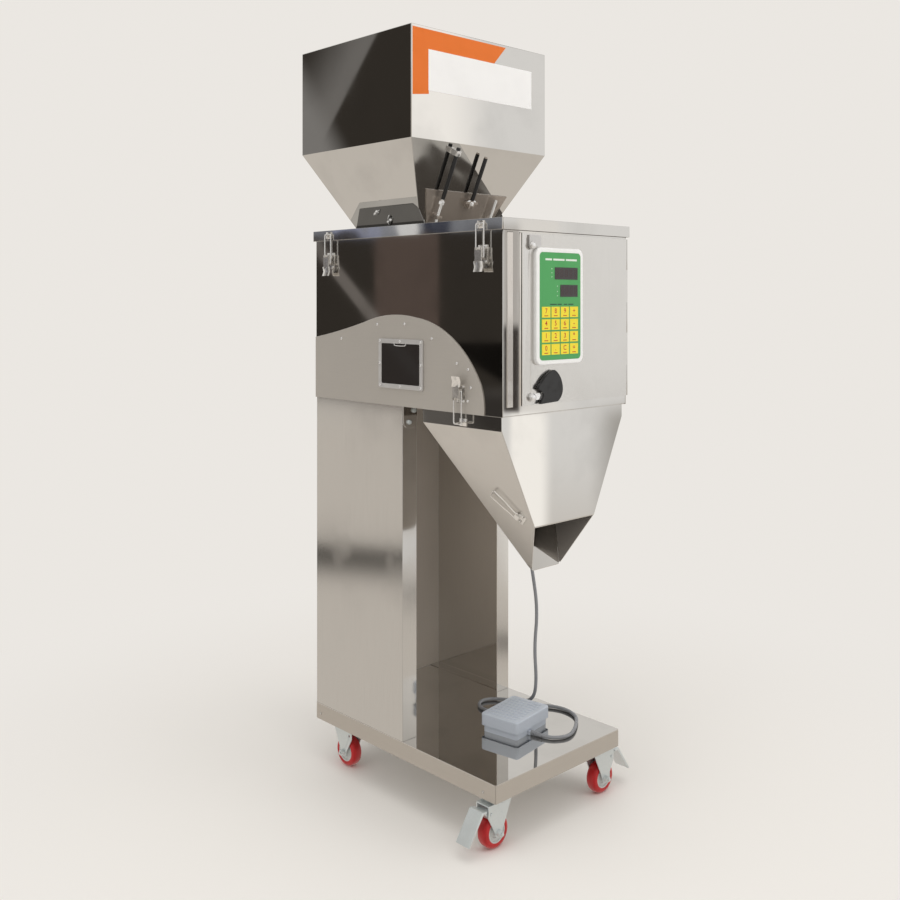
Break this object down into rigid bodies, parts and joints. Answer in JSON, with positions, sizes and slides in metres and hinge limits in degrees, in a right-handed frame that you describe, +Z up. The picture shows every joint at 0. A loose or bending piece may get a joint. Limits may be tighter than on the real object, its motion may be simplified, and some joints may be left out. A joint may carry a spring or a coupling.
{
  "type": "vertical particle filling machine",
  "caption": "Floor-standing stainless filling machine for grains: square hopper, dosing housing with a hinged control door, open column and sloping chute over a castered tray.",
  "frame": {"origin": "on the floor, under the middle of the machine's bounding box", "axes": "+Z up, -Y out of the control panel, +X to the operator's right"},
  "size_m": [0.467, 0.5995, 1.5359],
  "materials": {
    "satin_steel": "satin stainless sheet",
    "mirror_steel": "polished stainless sheet",
    "chrome": "bright plated steel",
    "galvanised": "bright zinc plate",
    "spring_steel": "blued spring steel",
    "aluminium": "milled",
    "cast_iron": "painted cast block",
    "smoked_glass": "smoked clear pane",
    "white_plastic": "moulded, slightly glossy",
    "green_foil": "printed key foil",
    "yellow_keys": "printed membrane keys",
    "display_black": "dark filter windows",
    "green_board": "solder mask",
    "black_plastic": "moulded",
    "grey_plastic": "moulded nylon",
    "red_plastic": "moulded rocker",
    "red_tyre": "smooth red polyurethane tread",
    "grey_paint": "pale blue-grey enamel",
    "grey_cord": "smooth grey sheath"
  },
  "bodies": {
    "machine": {"base_frame": "satin_steel", "base_tray": "mirror_steel", "column_shell": "satin_steel", "housing_shell": "mirror_steel", "housing_floor": "satin_steel", "front_frame": "mirror_steel", "lid": "mirror_steel", "hopper": "mirror_steel", "gate_guides": "chrome", "saddle_plates": "mirror_steel", "chute": "mirror_steel", "side_covers": "satin_steel", "window_frame": "mirror_steel", "window_pane": "smoked_glass", "caster_plates": "galvanised", "latch_fixings": "galvanised", "feeder_stand": "aluminium", "feeder_magnet": "cast_iron", "feeder_springs": "spring_steel", "feeder_trough": "satin_steel", "load_cell": "aluminium", "weigh_bucket": "satin_steel", "power_inlet": "black_plastic", "cable_gland": "grey_plastic", "foot_base": "grey_paint", "foot_cord": "grey_cord"},
    "door": {"front_door": "satin_steel", "control_bezel": "white_plastic", "control_overlay": "green_foil", "keypad_keys": "yellow_keys", "display_windows": "display_black", "control_board": "green_board"},
    "gate": {"gate_plate": "mirror_steel"},
    "upper_catch": {"upper_turn_tab": "chrome"},
    "lower_catch": {"lower_turn_handle": "chrome"},
    "flap": {"bucket_flap": "satin_steel"},
    "pedal": {"foot_pedal": "grey_paint"},
    "rocker": {"power_rocker": "red_plastic"},
    "swivel_front_left": {"fork_front_left": "galvanised"},
    "roller_front_left": {"wheel_front_left": "red_tyre"},
    "swivel_front_right": {"fork_front_right": "galvanised"},
    "roller_front_right": {"wheel_front_right": "red_tyre"},
    "swivel_rear_left": {"fork_rear_left": "galvanised"},
    "roller_rear_left": {"wheel_rear_left": "red_tyre"},
    "swivel_rear_right": {"fork_rear_right": "galvanised"},
    "roller_rear_right": {"wheel_rear_right": "red_tyre"},
    "foot_brake_front_left": {"brake_front_left": "galvanised"},
    "foot_brake_front_right": {"brake_front_right": "galvanised"},
    "lever_left_rear": {"latch_lever_left_rear": "galvanised"},
    "bail_left_rear": {"latch_bail_left_rear": "chrome"},
    "lever_left_front": {"latch_lever_left_front": "galvanised"},
    "bail_left_front": {"latch_bail_left_front": "chrome"},
    "lever_left_chute": {"latch_lever_left_chute": "galvanised"},
    "bail_left_chute": {"latch_bail_left_chute": "chrome"},
    "lever_right_rear": {"latch_lever_right_rear": "galvanised"},
    "bail_right_rear": {"latch_bail_right_rear": "chrome"},
    "lever_right_front": {"latch_lever_right_front": "galvanised"},
    "bail_right_front": {"latch_bail_right_front": "chrome"},
    "lever_right_chute": {"latch_lever_right_chute": "galvanised"},
    "bail_right_chute": {"latch_bail_right_chute": "chrome"}
  },
  "joints": [
    {"name": "caster_turn_front_left", "type": "hinge", "parent": "machine", "child": "swivel_front_left", "pos_m": [-0.138, -0.243, 0.085], "axis": [0, 0, 1], "continuous": true},
    {"name": "wheel_spin_front_left", "type": "hinge", "parent": "swivel_front_left", "child": "roller_front_left", "pos_m": [-0.156, -0.243, 0.0315], "axis": [0, 1, 0], "continuous": true},
    {"name": "caster_turn_front_right", "type": "hinge", "parent": "machine", "child": "swivel_front_right", "pos_m": [0.138, -0.243, 0.085], "axis": [0, 0, 1], "continuous": true},
    {"name": "wheel_spin_front_right", "type": "hinge", "parent": "swivel_front_right", "child": "roller_front_right", "pos_m": [0.156, -0.243, 0.0315], "axis": [0, 1, 0], "continuous": true},
    {"name": "caster_turn_rear_left", "type": "hinge", "parent": "machine", "child": "swivel_rear_left", "pos_m": [-0.138, 0.222, 0.085], "axis": [0, 0, 1], "continuous": true},
    {"name": "wheel_spin_rear_left", "type": "hinge", "parent": "swivel_rear_left", "child": "roller_rear_left", "pos_m": [-0.138, 0.204, 0.0315], "axis": [1, 0, 0], "continuous": true},
    {"name": "caster_turn_rear_right", "type": "hinge", "parent": "machine", "child": "swivel_rear_right", "pos_m": [0.138, 0.222, 0.085], "axis": [0, 0, 1], "continuous": true},
    {"name": "wheel_spin_rear_right", "type": "hinge", "parent": "swivel_rear_right", "child": "roller_rear_right", "pos_m": [0.138, 0.204, 0.0315], "axis": [1, 0, 0], "continuous": true},
    {"name": "brake_press_front_left", "type": "hinge", "parent": "swivel_front_left", "child": "foot_brake_front_left", "pos_m": [-0.175, -0.243, 0.0705], "axis": [0, -1, 0], "range_deg": [0, 12]},
    {"name": "brake_press_front_right", "type": "hinge", "parent": "swivel_front_right", "child": "foot_brake_front_right", "pos_m": [0.175, -0.243, 0.0705], "axis": [0, 1, 0], "range_deg": [0, 12]},
    {"name": "latch_open_left_rear", "type": "hinge", "parent": "machine", "child": "lever_left_rear", "pos_m": [-0.189, 0.213, 1.092], "axis": [0, 1, 0], "range_deg": [0, 120]},
    {"name": "bail_swing_left_rear", "type": "hinge", "parent": "lever_left_rear", "child": "bail_left_rear", "pos_m": [-0.189, 0.213, 1.078], "axis": [0, 1, 0], "range_deg": [-120, 0]},
    {"name": "latch_open_left_front", "type": "hinge", "parent": "machine", "child": "lever_left_front", "pos_m": [-0.189, -0.243, 1.092], "axis": [0, 1, 0], "range_deg": [0, 120]},
    {"name": "bail_swing_left_front", "type": "hinge", "parent": "lever_left_front", "child": "bail_left_front", "pos_m": [-0.189, -0.243, 1.078], "axis": [0, 1, 0], "range_deg": [-120, 0]},
    {"name": "latch_open_left_chute", "type": "hinge", "parent": "machine", "child": "lever_left_chute", "pos_m": [-0.191, -0.187, 0.818], "axis": [0, -1, 0], "range_deg": [0, 120]},
    {"name": "bail_swing_left_chute", "type": "hinge", "parent": "lever_left_chute", "child": "bail_left_chute", "pos_m": [-0.191, -0.187, 0.832], "axis": [0, -1, 0], "range_deg": [-120, 0]},
    {"name": "latch_open_right_rear", "type": "hinge", "parent": "machine", "child": "lever_right_rear", "pos_m": [0.189, 0.213, 1.092], "axis": [0, -1, 0], "range_deg": [0, 120]},
    {"name": "bail_swing_right_rear", "type": "hinge", "parent": "lever_right_rear", "child": "bail_right_rear", "pos_m": [0.189, 0.213, 1.078], "axis": [0, -1, 0], "range_deg": [-120, 0]},
    {"name": "latch_open_right_front", "type": "hinge", "parent": "machine", "child": "lever_right_front", "pos_m": [0.189, -0.243, 1.092], "axis": [0, -1, 0], "range_deg": [0, 120]},
    {"name": "bail_swing_right_front", "type": "hinge", "parent": "lever_right_front", "child": "bail_right_front", "pos_m": [0.189, -0.243, 1.078], "axis": [0, -1, 0], "range_deg": [-120, 0]},
    {"name": "latch_open_right_chute", "type": "hinge", "parent": "machine", "child": "lever_right_chute", "pos_m": [0.191, -0.187, 0.818], "axis": [0, 1, 0], "range_deg": [0, 120]},
    {"name": "bail_swing_right_chute", "type": "hinge", "parent": "lever_right_chute", "child": "bail_right_chute", "pos_m": [0.191, -0.187, 0.832], "axis": [0, 1, 0], "range_deg": [-120, 0]},
    {"name": "gate_lift", "type": "slide", "parent": "machine", "child": "gate", "axis": [0, -0.4291, 0.9033], "range_m": [0, 0.045]},
    {"name": "door_swing", "type": "hinge", "parent": "machine", "child": "door", "pos_m": [0.1832, -0.2895, 0.965], "axis": [0, 0, 1], "range_deg": [0, 150]},
    {"name": "upper_catch_turn", "type": "hinge", "parent": "door", "child": "upper_catch", "pos_m": [-0.106, -0.2928, 1.101], "axis": [0, -1, 0], "range_deg": [0, 90]},
    {"name": "lower_catch_turn", "type": "hinge", "parent": "door", "child": "lower_catch", "pos_m": [-0.106, -0.2928, 0.822], "axis": [0, 1, 0], "range_deg": [0, 90]},
    {"name": "flap_drop", "type": "hinge", "parent": "machine", "child": "flap", "pos_m": [0, -0.082, 0.89825], "axis": [1, 0, 0], "range_deg": [0, 60], "stiffness_Nm_per_rad": 0.3, "springref_deg": -57.3},
    {"name": "pedal_press", "type": "hinge", "parent": "machine", "child": "pedal", "pos_m": [0.02968, -0.08842, 0.144], "axis": [0.9877, 0.1564, 0], "range_deg": [0, 3], "stiffness_Nm_per_rad": 2, "springref_deg": -20.05},
    {"name": "rocker_tip", "type": "hinge", "parent": "machine", "child": "rocker", "pos_m": [0.11, 0.2666, 0.862], "axis": [1, 0, 0], "range_deg": [-10, 0]}
  ],
  "couplings": [
    {"joint": "bail_swing_left_rear", "follows": "latch_open_left_rear", "ratio": -1},
    {"joint": "bail_swing_left_front", "follows": "latch_open_left_front", "ratio": -1},
    {"joint": "bail_swing_left_chute", "follows": "latch_open_left_chute", "ratio": -1},
    {"joint": "bail_swing_right_rear", "follows": "latch_open_right_rear", "ratio": -1},
    {"joint": "bail_swing_right_front", "follows": "latch_open_right_front", "ratio": -1},
    {"joint": "bail_swing_right_chute", "follows": "latch_open_right_chute", "ratio": -1}
  ]
}
